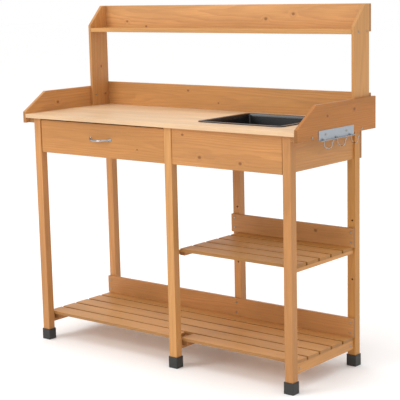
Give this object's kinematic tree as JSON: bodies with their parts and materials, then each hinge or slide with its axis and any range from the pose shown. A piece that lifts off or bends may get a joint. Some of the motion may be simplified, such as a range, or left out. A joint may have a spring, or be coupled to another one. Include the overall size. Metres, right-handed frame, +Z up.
{
  "type": "potting bench",
  "caption": "Wooden potting bench with a drawer, a lift-out sink bin, slatted shelves, a rack with a top shelf and a side plate with wire hooks.",
  "frame": {"origin": "on the floor, under the middle of the whole bench, hooks included; the side boards are centred on x = -0.019 m", "axes": "+X to the right along the bench, -Y to the front where the drawer opens, +Z up"},
  "size_m": [1.2396, 0.4576, 1.209],
  "materials": {
    "frame_fir": "stained and oiled fir",
    "worktop_fir": "stained and oiled fir",
    "drawer_ply": "plain thin plywood",
    "cap_plastic": "moulded black plastic",
    "bin_plastic": "moulded dark grey plastic",
    "handle_chrome": "bright plated",
    "hook_zinc": "zinc plated",
    "screw_steel": "zinc plated screws"
  },
  "bodies": {
    "bench": {"back_apron": "frame_fir", "board_screws": "screw_steel", "bottom_back_board": "frame_fir", "bottom_rail_left": "frame_fir", "bottom_rail_middle": "frame_fir", "bottom_rail_right": "frame_fir", "bottom_shelf_battens": "frame_fir", "bottom_slat_1_left": "frame_fir", "bottom_slat_1_right": "frame_fir", "bottom_slat_2": "frame_fir", "bottom_slat_3": "frame_fir", "bottom_slat_4": "frame_fir", "bottom_slat_5": "frame_fir", "drawer_runner_left": "frame_fir", "drawer_runner_right": "frame_fir", "drawer_stop": "frame_fir", "foot_caps": "cap_plastic", "front_panel": "frame_fir", "hook_plate": "hook_zinc", "hook_plate_screws": "screw_steel", "leg_front_left": "frame_fir", "leg_front_middle": "frame_fir", "leg_front_right": "frame_fir", "leg_rear_left": "frame_fir", "leg_rear_middle": "frame_fir", "leg_rear_right": "frame_fir", "middle_apron": "frame_fir", "middle_back_board": "frame_fir", "middle_shelf_battens": "frame_fir", "middle_shelf_rail_left": "frame_fir", "middle_shelf_rail_right": "frame_fir", "middle_shelf_slats": "frame_fir", "rail_bolts": "screw_steel", "side_apron_left": "frame_fir", "side_apron_right": "frame_fir", "side_board_left": "frame_fir", "side_board_right": "frame_fir", "splash_board": "frame_fir", "table_cleat_left": "frame_fir", "table_cleat_right": "frame_fir", "tabletop": "worktop_fir", "top_back_board": "frame_fir", "top_shelf": "worktop_fir", "upright_left": "frame_fir", "upright_right": "frame_fir"},
    "drawer": {"drawer_front": "frame_fir", "drawer_side_left": "frame_fir", "drawer_side_right": "frame_fir", "drawer_back": "frame_fir", "drawer_bottom": "drawer_ply", "drawer_handle": "handle_chrome", "handle_screws": "screw_steel"},
    "sink": {"sink_bin": "bin_plastic"},
    "front_hook": {"hook_front": "hook_zinc"},
    "middle_hook": {"hook_middle": "hook_zinc"},
    "rear_hook": {"hook_rear": "hook_zinc"}
  },
  "joints": [
    {"name": "drawer_slide", "type": "slide", "parent": "bench", "child": "drawer", "axis": [0, -1, 0], "range_m": [0, 0.25]},
    {"name": "sink_lift", "type": "slide", "parent": "bench", "child": "sink", "axis": [0, 0, 1], "range_m": [0, 0.12]},
    {"name": "front_hook_swivel", "type": "hinge", "parent": "bench", "child": "front_hook", "pos_m": [0.58615, -0.08535, 0.79], "axis": [0, 0, 1], "range_deg": [-60, 60]},
    {"name": "middle_hook_swivel", "type": "hinge", "parent": "bench", "child": "middle_hook", "pos_m": [0.58615, -0.00885, 0.79], "axis": [0, 0, 1], "range_deg": [-60, 60]},
    {"name": "rear_hook_swivel", "type": "hinge", "parent": "bench", "child": "rear_hook", "pos_m": [0.58615, 0.07065, 0.79], "axis": [0, 0, 1], "range_deg": [-60, 60]}
  ]
}
